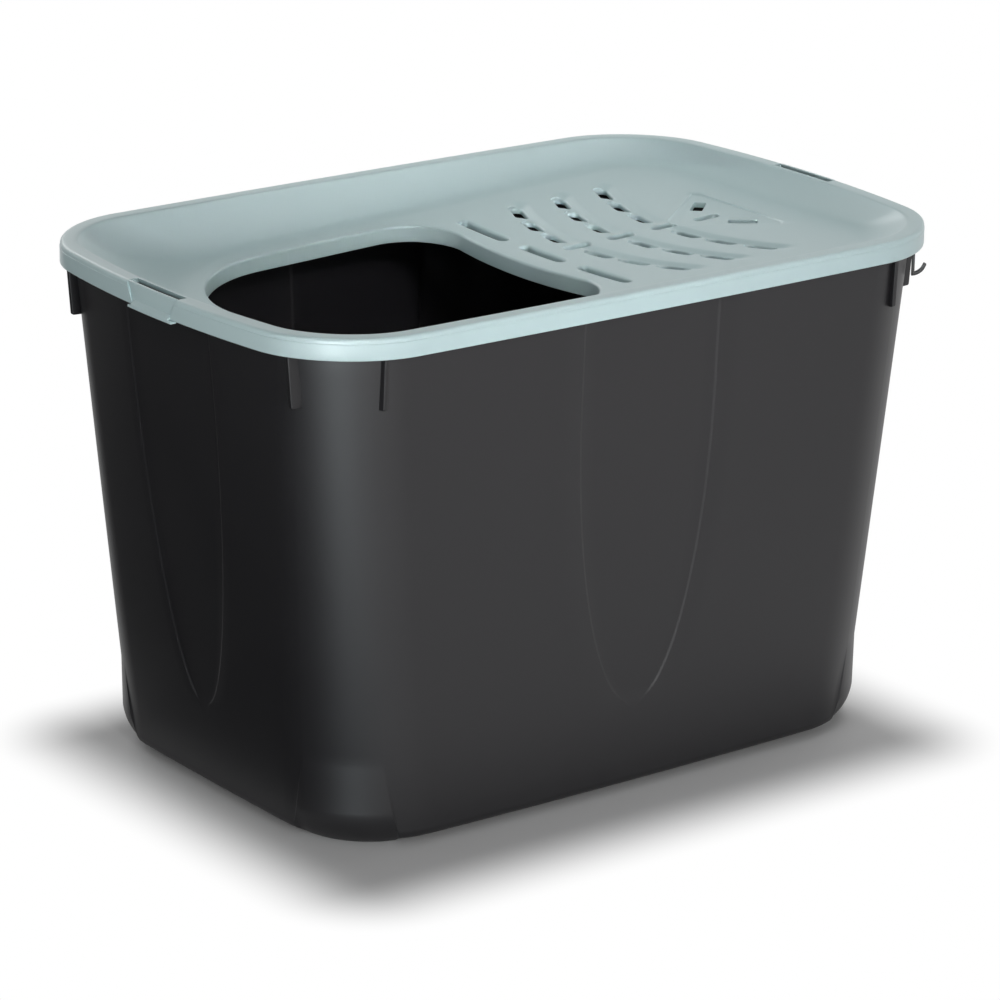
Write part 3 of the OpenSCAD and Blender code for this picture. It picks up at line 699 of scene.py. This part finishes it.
latch = {
    "width": 62.0,
    "footWidth": 47.0,
    "lipWidth": 55.0,
    "thickness": 2.2,
    "recess": 1.2,
    "drop": 2.5,  # its lip hangs below the skirt, and stands out from it
    "out": 1.6,
    "gap": 0.3,
    "openSlot": 6.6,
    "pinIn": 3.0,
    "pinDrop": 3.7,
    "pinRadius": 1.2,
    "pinGap": 0.08,
    "pinRoot": 4.0,
    "pinReach": 3.4,
    "boreReach": 4.2,
    "earDepth": (5.2, 1.8),  # in from the box's end
    "earDrop": (7.6, 1.0),  # down from the rim's top
    "earRoot": 3.0,
    "earReach": 5.4,
    "apronTop": 3.4,
    "apronStep": 0.4,
    "bite": 1.4,
    "barbHeight": 1.4,
    "barbGap": 0.4,
    "hookWidth": 30.0,
    "panelRound": 0.5,
    "apronRound": 0.4,
    "smallRound": 0.3,
}
pivot = (boxEnd - latch["pinIn"], shell["rimTop"] - latch["pinDrop"])
latchFace = boxEnd - latch["recess"]
latchBack = latchFace - latch["thickness"]
slotIn = latchBack - latch["openSlot"]


def cylinderY(name, radius, y, sides=32):
    turn = np.linspace(0, 2 * math.pi, sides + 1)[:-1]
    outline = [(pivot[0] + radius * math.cos(a), pivot[1] + radius * math.sin(a)) for a in turn]
    return prism(name, outline, y, "y")


# a span across the box, on the side s
def beside(s, inner, outer):
    return (inner, outer) if s > 0 else (-outer, -inner)


def cutLatchWindows(obj):
    skirt, top, half, gap = shell["skirtBottom"], shell["rimTop"], latch["width"] / 2, latch["gap"]
    low, wide = latch["footWidth"] / 2 + gap, half + gap
    under, over = skirt - 4, top + 2
    window = [(-low, under), (low, under), (low, skirt), (wide, top), (wide, over),
              (-wide, over), (-wide, top), (-low, skirt)]
    earX = [boxEnd - depth for depth in latch["earDepth"]]
    earY = (half - latch["earRoot"], half + latch["earReach"])
    earZ = [top - drop for drop in latch["earDrop"]]
    boreY = (half - latch["pinRoot"], half + latch["boreReach"])
    for flip in (lambda mesh: mesh, mirrored):
        for s in (-1, 1):
            ear = box("ear", earX, beside(s, *earY), earZ, latch["smallRound"])
            combine(obj, newObject("ear", flip(ear)), "UNION")
        combine(obj, newObject("window", flip(prism("window", window, (slotIn, boxEnd + 2)))), "DIFFERENCE")
        for s in (-1, 1):
            bore = cylinderY("bore", latch["pinRadius"] + latch["pinGap"], beside(s, *boreY))
            combine(obj, newObject("bore", flip(bore)), "DIFFERENCE")
    print("latch windows cut")


# slices a latch's part and bends it to the skirt's gentle curve
def bent(mesh):
    bm = bmesh.new()
    bm.from_mesh(mesh)
    cuts = np.linspace(-24, 24, 9)
    for y in cuts:
        bmesh.ops.bisect_plane(bm, geom=bm.verts[:] + bm.edges[:] + bm.faces[:],
                               plane_co=(0, y * mm, 0), plane_no=(0, 1, 0))
    for v in bm.verts:
        v.co.x -= shell["endBow"] * (v.co.y / mm / shell["halfWidth"]) ** 2 * mm
    bm.to_mesh(mesh)
    bm.free()
    return mesh


def buildLatch(name, flip):
    skirt, top, gap, lap = shell["skirtBottom"], shell["rimTop"], latch["gap"], 0.1
    lipLow, lipFace = skirt - latch["drop"], boxEnd + latch["out"]
    low, wide, rounding = latch["footWidth"] / 2, latch["width"] / 2, latch["panelRound"]
    halfLip, halfBarb = latch["lipWidth"] / 2, latch["hookWidth"] / 2
    panelShape = [(-low, skirt - 1), (low, skirt - 1), (low, skirt), (wide, top), (-wide, top), (-low, skirt)]
    panel = prism("panel", panelShape, (latchBack, latchFace), "x", rounding)
    back, front = latchBack + lap, lipFace - lap / 2
    apronTop, apronLow = skirt + latch["apronTop"], lipLow + gap
    apronShape = [(back, apronLow), (front, apronLow), (front, skirt + latch["apronStep"]),
                  (latchFace, apronTop), (back, apronTop)]
    apron = prism("apron", apronShape, (lap - low, low - lap), "y", latch["apronRound"])
    lip = box("lip", (latchBack, lipFace), (-halfLip, halfLip), (lipLow, skirt - 2 * gap), rounding)
    barbTop = seatHeight - tub["lipHeight"] - latch["barbGap"]
    barbTip = boxEnd - tub["lipInset"] - latch["bite"]
    barbShape = [(back + lap, barbTop), (barbTip, barbTop), (barbTip, barbTop - latch["barbHeight"]),
                 (back + lap, lipLow + 2 * gap)]
    barb = prism("barb", barbShape, (-halfBarb, halfBarb), "y", latch["smallRound"])
    pinY = (wide - latch["pinRoot"], wide + latch["pinReach"])
    pins = [cylinderY("pin", latch["pinRadius"], beside(s, *pinY)) for s in (-1, 1)]
    obj = united(name, [bent(panel), bent(apron), bent(lip), barb] + pins)
    flip(obj.data)
    return obj


tub = {
    "baseHalfLength": 249.0,
    "baseHalfWidth": 164.5,
    "baseCorner": 74.5,
    "baseEndBow": 2.0,
    "baseSideBow": 4.5,
    "wall": 2.4,
    "base": 2.6,
    "footHeight": 5.0,
    "baseRound": 8.0,
    "wallInset": 10.6,
    "lipInset": 5.8,
    "lipHeight": 10.8,
    "sideRelief": 60.0,
    "endRelief": 52.0,
    "reliefTip": 70.0,
    "sideReliefHeight": 236.0,
    "endReliefHeight": 280.0,
    "reliefDepth": 1.0,
    "reliefFade": 9.0,
    "footTop": 66.0,
    "footOut": 1.4,
    "footCrown": 2.0,
    "footCrease": 27.0,
    "footTurn": 20.0,
    "footLowWidth": 30.0,
    "footHighWidth": 22.0,
    "footNarrow": 2.0,  # how much narrower a foot is inside
    "sole": 33.0,  # a foot's sole lies between these insets
    "soleEdge": 26.0,
    "baseMiddle": 58.0,
}


def wallSizes(z):
    s, t = shell, (z - tub["footHeight"]) / (shell["skirtBottom"] - tub["footHeight"])
    return tuple(mix(low, high, t) for low, high in (
        (tub["baseHalfLength"], s["halfLength"] - tub["wallInset"]),
        (tub["baseHalfWidth"], s["halfWidth"] - tub["wallInset"]),
        (tub["baseCorner"], s["corner"] - tub["wallInset"]),
        (tub["baseEndBow"], s["endBow"]), (tub["baseSideBow"], s["sideBow"])))


def reliefWidth(z, width, height):
    t = max(0.0, (tub["reliefTip"] + height - z) / height)
    return max(2 * reliefEdge, width * math.sqrt(max(0.0, 1 - t * t)))


def wallRing(z, e, narrow=0.0, push=noPush):
    hx, hy, r, bowX, bowY = wallSizes(z)
    depth = tub["reliefDepth"] * float(smoothStep((z - tub["reliefTip"]) / tub["reliefFade"]))
    width = mix(tub["footLowWidth"], tub["footHighWidth"], min(1.0, max(0.0, z / tub["footTop"]))) - narrow
    features = (reliefWidth(z, tub["endRelief"], tub["endReliefHeight"]),
                reliefWidth(z, tub["sideRelief"], tub["sideReliefHeight"]))
    ring = outlineRing(e - hx, hx - e, hy - e, r - e, r - e, (bowX, bowY), features,
                       depth, footAngles(width), push)
    return level(ring, z)


# the wall at z, with its corner feet at their own height and inset
def footedRing(z, e, footZ, footE, narrow=0.0):
    share = min(1.0, max(0.0, (tub["footTop"] - footZ) / (tub["footTop"] - tub["footCrease"])))
    push = share * (tub["footOut"] + tub["footCrown"] * (1 - footAcross ** 2))
    mask = footMask[:, None]
    return wallRing(z, e, narrow) * (1 - mask) + wallRing(footZ, footE, narrow, push) * mask


# a ring of the skin, moved inward by t, where the wall and its feet have turned up by the angle a
def turnedRing(a, t, narrow):
    bottom = tub["footHeight"] + (tub["base"] if t else 0)
    r, crease, turn = tub["baseRound"] - t, tub["footCrease"], tub["footTurn"]
    footBottom = tub["base"] if t else 0
    rise, inset = 1 - math.cos(a), 1 - math.sin(a)
    return footedRing(bottom + r * rise, t + r * inset, footBottom + (crease - footBottom) * rise,
                      t + (turn - t) * inset, narrow)


def tubBody():
    t, z0, wall, lip, sole = tub, tub["footHeight"], tub["wall"], tub["lipInset"], tub["sole"]
    crease, skirt, top, inset = t["footCrease"], shell["skirtBottom"], seatHeight, t["wallInset"]
    toe, middle, narrow = t["soleEdge"], t["baseMiddle"], t["footNarrow"]
    rings = [wallRing(z0, middle)]
    for e, z in ((sole + 1, z0), (sole + 0.7, z0 - 0.6), (sole + 0.2, 0.5), (sole - 0.5, 0), (toe, 0)):
        rings.append(footedRing(z0, e, z, e))
    rings += [turnedRing(a, 0, 0.0) for a in np.radians(np.linspace(0, 90, 16))]
    rings += [footedRing(z, 0, z, 0) for z in np.linspace(crease + 1.5, t["footTop"], 12)]
    turns = np.radians(np.linspace(8, 90, 24))
    reliefs = [t["reliefTip"] + t["sideReliefHeight"] * (1 - math.cos(a)) for a in turns]
    upper = [skirt - drop for drop in (45, 30, 15, 0)]
    rings += [wallRing(z, 0) for z in reliefs + upper]
    upright = footAngles(t["footHighWidth"])
    under = top - wall
    low = top - t["lipHeight"]
    # out under the rim, down inside the lip, up its face and over the rim's top to the inside
    rings += [rimRing(e, z, (t["endRelief"], t["sideRelief"]), upright) for e, z in (
        (inset, under - 1.5), (inset - 0.5, under - 0.4), (inset - 1.2, under), (lip + wall + 0.6, under),
        (lip + wall, under - 0.6), (lip + wall, low + 0.5), (lip + wall - 0.5, low), (lip + 0.5, low),
        (lip, low + 0.5), (lip, top - 2.0), (lip + 0.35, top - 0.9), (lip + 1.0, top - 0.25),
        (lip + 2.0, top), (inset - 1.5, top), (inset + 0.4, top - 0.3), (inset + 1.7, top - 1.4),
        (inset + wall, top - 3.7))]
    rings += [wallRing(z, wall) for z in upper[::-1] + reliefs[::-2]]
    footLevels = (62, 55, 45, 36, crease + 1.5)
    rings += [footedRing(z, wall, z, wall, narrow) for z in footLevels]
    rings += [turnedRing(a, wall, narrow) for a in np.radians(np.linspace(90, 0, 12))]
    base = z0 + t["base"]
    for e, z in ((toe, t["base"]), (sole - 2.5, t["base"]), (sole - 1.5, base - 0.6)):
        rings.append(footedRing(base, e, z, e, narrow))
    rings += [wallRing(base, sole, narrow), wallRing(base, middle, narrow)]
    return loftMesh("tubBody", rings)


ribs = {
    "endY": 139.0,
    "sideX": 228.3,
    "thickness": 3.2,
    "endReach": 7.2,
    "sideReach": 4.0,
    "drop": 39.0,
    "sink": 1.2,
    "neck": 5.0,
    "lipGap": 0.8,
    "edgeRound": 0.45,
}


# distance of the wall from the middle plane at a place across it
def wallAt(cross, z, alongEnd):
    sizes = wallSizes(z)
    half = sizes[1] if alongEnd else sizes[0]
    share = min(1, max(0, (cross - half + sizes[2]) / sizes[2]))
    angle = math.asin(share) if alongEnd else math.acos(share)
    return cornerPoint(sizes, angle)[0 if alongEnd else 1]


def ribMesh(cross, alongEnd, reach):
    high, sink, half = shell["skirtBottom"], ribs["sink"], ribs["thickness"] / 2
    low = high - ribs["drop"]
    dTop, dLow = wallAt(cross, high, alongEnd), wallAt(cross, low, alongEnd)
    neck = dTop + min(reach, tub["wallInset"] - tub["lipInset"] - ribs["lipGap"])
    outline = [(dLow - sink, low), (dLow + reach + 0.2, low + 0.4), (dLow + reach + 1, low + 1.4),
               (dTop + reach, high), (neck, high + ribs["neck"]), (neck, seatHeight - sink),
               (dTop - sink, seatHeight - sink)]
    return prism("rib", outline, (-half, half), "y", ribs["edgeRound"])


def buildTub():
    obj = newObject("litterBoxTub", tubBody())
    tree = placedTree("wallRibs", False)
    for cross, reach, turns in ((ribs["endY"], ribs["endReach"], (0, 180)),
                                (ribs["sideX"], ribs["sideReach"], (90, 270))):
        piece = newObject("rib", ribMesh(cross, turns[0] == 0, reach))
        spots = []
        for turn in turns:
            a = math.radians(turn)
            spots += [(-s * cross * math.sin(a), s * cross * math.cos(a), 0, turn) for s in (-1, 1)]
        made = runTree("ribs", tree, {"Piece": piece, "Material": materials["anthracitePlastic"]},
                       pointCarrier("ribSpots", spots))
        combine(obj, made, "UNION")
        bpy.data.objects.remove(piece)
    print("tub lofted with its ribs:", len(obj.data.polygons), "faces")
    return obj


scoop = {
    "angle": 33.6,
    "direction": -40.3,
    "thickness": 2.4,
    "width": 4.0,
    "drop": 28.0,
    "bend": 8.5,
    "lean": 25.0,
    "tip": 2.8,
    "jawGap": 0.35,
    "jawWidth": 6.0,
    "jawWall": 1.6,
    "jawHeight": (-2.2, 5.0),
    "stemRound": 0.4,
    "jawRound": 0.3,
}


# side view of the hook: out from the middle of the tub's lip, and down from its edge
def hookOutline():
    t, r, lean = scoop["thickness"], scoop["bend"], math.radians(scoop["lean"])
    half, top = t / 2, -scoop["jawGap"]
    centre = r + t - scoop["drop"]
    outer = [((r + t) * math.cos(a) - half, centre + (r + t) * math.sin(a))
             for a in np.linspace(-math.pi / 2, -lean, 14)]
    inner = [(r * math.cos(a) - half, centre + r * math.sin(a))
             for a in np.linspace(-lean, -math.acos(t / r), 12)]
    run = (scoop["tip"] * math.sin(lean), scoop["tip"] * math.cos(lean))
    tip = [(outer[-1][0] + run[0], outer[-1][1] + run[1]), (inner[0][0] + run[0], inner[0][1] + run[1])]
    return [(-half, top)] + outer + tip + inner + [(half, top)]


def buildHook():
    half, t, gap, rounding = scoop["width"] / 2, scoop["thickness"], scoop["jawGap"], scoop["jawRound"]
    stem = prism("stem", hookOutline(), (-half, half), "y", scoop["stemRound"])
    grip = t / 2 + gap
    hold = grip + scoop["jawWall"]
    jaw = (-scoop["jawWidth"] / 2, scoop["jawWidth"] / 2)
    bridge = box("bridge", (-hold, hold), jaw, (-t - gap, -gap), rounding)
    jaws = [box("jaw", beside(s, grip, hold), jaw, scoop["jawHeight"], rounding) for s in (-1, 1)]
    obj = united("scoopHookPiece", [bridge, stem] + jaws)
    s, inset = shell, tub["lipInset"] + tub["wall"] / 2
    x, y = cornerPoint((s["halfLength"] - inset, s["halfWidth"] - inset, s["corner"] - inset,
                        s["endBow"], s["sideBow"]), math.radians(scoop["angle"]))
    z = seatHeight - tub["lipHeight"]
    turn = Matrix.Rotation(math.radians(scoop["direction"]), 4, "Z")
    obj.data.transform(Matrix.Translation((x * mm, -y * mm, z * mm)) @ turn)
    return obj


def dress(obj, material, body, node):
    sharpest = math.radians(38)  # edges that turn more stay sharp
    obj.data.materials.clear()
    obj.data.materials.append(materials[material])
    obj.data.polygons.foreach_set("material_index", [0] * len(obj.data.polygons))
    obj.data.shade_smooth()
    obj.data.set_sharp_from_angle(angle=sharpest)
    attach(obj, body)
    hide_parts(node)


lidPiece = buildLid()
cutLatchWindows(lidPiece)
dress(lidPiece, "sagePlastic", "lid", "lid")
dress(buildTub(), "anthracitePlastic", "tub", "tub")
dress(buildLatch("leftLatch", mirrored), "sagePlastic", "left_latch", "left_latch")
dress(buildLatch("rightLatch", lambda mesh: mesh), "sagePlastic", "right_latch", "right_latch")
dress(buildHook(), "hookPlastic", "tub", "scoop_hook")
print("pieces dressed")

studio = {
    "cameraPlace": (-1.927855, -2.547300, 1.235115),
    "cameraAzimuth": -37.205,
    "cameraElevation": 18.3373,
    "cameraRoll": 0.8579,
    "focalPixels": 4533.06,
    "framePixels": 1000,
    "sensor": 36.0,
    "paper": (0.88, 0.88, 0.88),
    "paperHalf": 6.0,
    "shadowReach": (0.0, 0.095),  # distances from the shadow's rectangle where the paper fades to white
    "shadowMiddle": (-0.014, -0.028),
    "shadowHalf": (0.236, 0.166),
    "roomLight": 0.14,
}


def makeCamera():
    a, e, r = (math.radians(studio[k]) for k in ("cameraAzimuth", "cameraElevation", "cameraRoll"))
    back = Vector((math.sin(a) * math.cos(e), -math.cos(a) * math.cos(e), math.sin(e)))
    right = (-back).cross(Vector((0, 0, 1))).normalized()
    upward = right.cross(-back)
    rolledRight = right * math.cos(r) + upward * math.sin(r)
    rolledUp = upward * math.cos(r) - right * math.sin(r)
    camera = bpy.data.cameras.new("camera")
    camera.sensor_width = studio["sensor"]
    camera.lens = studio["focalPixels"] / studio["framePixels"] * studio["sensor"]
    camera.clip_end = 30
    obj = newObject("camera", camera)
    turn = Matrix((rolledRight, rolledUp, back)).transposed()
    obj.matrix_world = Matrix.Translation(studio["cameraPlace"]) @ turn.to_4x4()
    bpy.context.scene.camera = obj


lamps = {
    "topSoftbox": {"place": (0.58, 0.05, 1.10), "target": (0.15, 0, 0.36), "size": (0.7, 0.7), "watts": 2.5},
    "backSoftbox": {"place": (0.25, 2.7, 1.7), "target": (0, 0, 0.3), "size": (1.8, 1.0), "watts": 18},
    "frontSoftbox": {"place": (-0.74, -2.28, 0.45), "target": (0, 0, 0.33), "size": (1.6, 0.7), "watts": 24},
    "griddedSoftbox": {"place": (-0.75, -2.3, 1.6), "target": (0, 0, 0.40), "size": (0.5, 0.5), "watts": 0.35,
                       "spread": 12},
    "leftFill": {"place": (-2.4, -0.6, 0.5), "target": (0, 0, 0.3), "size": (0.8, 0.8), "watts": 8,
                 "glossy": False},
    "cornerSoftbox": {"place": (-1.5, -1.25, 0.16), "target": (-0.1, -0.1, 0.16), "size": (0.5, 0.3),
                      "watts": 24, "tint": (0.86, 0.96, 1.0), "diffuse": False},
}


def areaLamp(name, look):
    lamp = bpy.data.lights.new(name, "AREA")
    lamp.shape = "RECTANGLE"
    lamp.size, lamp.size_y = look["size"]
    lamp.energy = look["watts"]
    lamp.color = look.get("tint", (1, 1, 1))
    lamp.spread = math.radians(look.get("spread", 180))
    obj = newObject(name, lamp)
    obj.location = look["place"]
    aim = Vector(look["target"]) - Vector(look["place"])
    obj.rotation_euler = aim.to_track_quat("-Z", "Y").to_euler()
    obj.visible_glossy = look.get("glossy", True)
    obj.visible_diffuse = look.get("diffuse", True)


# 1 for camera, glossy and transmission rays, which see pure white around the shadow
def seenRays(tree):
    paths = tree.nodes.new("ShaderNodeLightPath").outputs
    bounced = calc(tree, "MAXIMUM", paths["Is Glossy Ray"], paths["Is Transmission Ray"])
    return calc(tree, "MAXIMUM", paths["Is Camera Ray"], bounced)


def makeWorld():
    world = bpy.data.worlds.new("studioWorld")
    bpy.context.scene.world = world
    world.use_nodes = True
    tree = world.node_tree
    tree.nodes.clear()
    room, white = (addNode(tree, "ShaderNodeBackground", {"Color": (1, 1, 1, 1), "Strength": strength})
                   for strength in (studio["roomLight"], 1.0))
    pick = addNode(tree, "ShaderNodeMixShader", {0: seenRays(tree), 1: room.outputs[0], 2: white.outputs[0]})
    addNode(tree, "ShaderNodeOutputWorld", {0: pick.outputs[0]})


# a level sheet of one colour, as part of the studio
def sheet(name, x, y, z, color):
    mesh = bpy.data.meshes.new(name)
    corners = [(x[0], y[0], z), (x[1], y[0], z), (x[1], y[1], z), (x[0], y[1], z)]
    mesh.from_pydata(corners, [], [(0, 1, 2, 3)])
    obj = newObject(name, mesh)
    material = bpy.data.materials.new(name)
    material.use_nodes = True
    mesh.materials.append(material)
    tree = material.node_tree
    shader = feed(tree, tree.nodes["Principled BSDF"], {
        "Base Color": (*color, 1), "Roughness": 0.9, "Specular IOR Level": 0.0})
    return obj, tree, shader


# pale paper that keeps the box's shadow and fades to white around it
def makeFloor():
    side = (-studio["paperHalf"], studio["paperHalf"])
    _, tree, shader = sheet("palePaper", side, side, 0, studio["paper"])
    place = splitXyz(tree, tree.nodes.new("ShaderNodeTexCoord").outputs["Object"])
    squares = []
    for axis, middle, half in zip((0, 1), studio["shadowMiddle"], studio["shadowHalf"]):
        away = calc(tree, "ABSOLUTE", calc(tree, "SUBTRACT", place[axis], middle))
        away = calc(tree, "MAXIMUM", calc(tree, "SUBTRACT", away, half), 0.0)
        squares.append(calc(tree, "MULTIPLY", away, away))
    distance = calc(tree, "SQRT", calc(tree, "ADD", *squares))
    start, end = studio["shadowReach"]
    reach = addNode(tree, "ShaderNodeMapRange", {"Value": distance, "From Min": start, "From Max": end})
    reach.interpolation_type = "SMOOTHSTEP"
    share = calc(tree, "MULTIPLY", seenRays(tree), reach.outputs[0])
    glow = tree.nodes.new("ShaderNodeEmission")
    blend = addNode(tree, "ShaderNodeMixShader", {0: share, 1: shader.outputs[0], 2: glow.outputs[0]})
    feed(tree, tree.nodes["Material Output"], {0: blend.outputs[0]})


# dark cards that only show as reflections, in the box's left end and in the lid's slopes
cards = {
    "lowCard": {"x": (-3, -0.28), "y": (-0.34, 3), "z": 0.002},
    "ceilingCard": {"x": (-3.5, 3.5), "y": (-1.5, 3.5), "z": 2.4},
}
cardBlack = (0.01, 0.01, 0.01)


def makeCards():
    for name, card in cards.items():
        obj = sheet(name, card["x"], card["y"], card["z"], cardBlack)[0]
        obj.visible_camera = False
        obj.visible_diffuse = False
        obj.visible_shadow = False


makeCamera()
makeWorld()
makeFloor()
makeCards()
for name, look in lamps.items():
    areaLamp(name, look)
bpy.context.scene.view_settings.view_transform = "Standard"
print("studio ready")
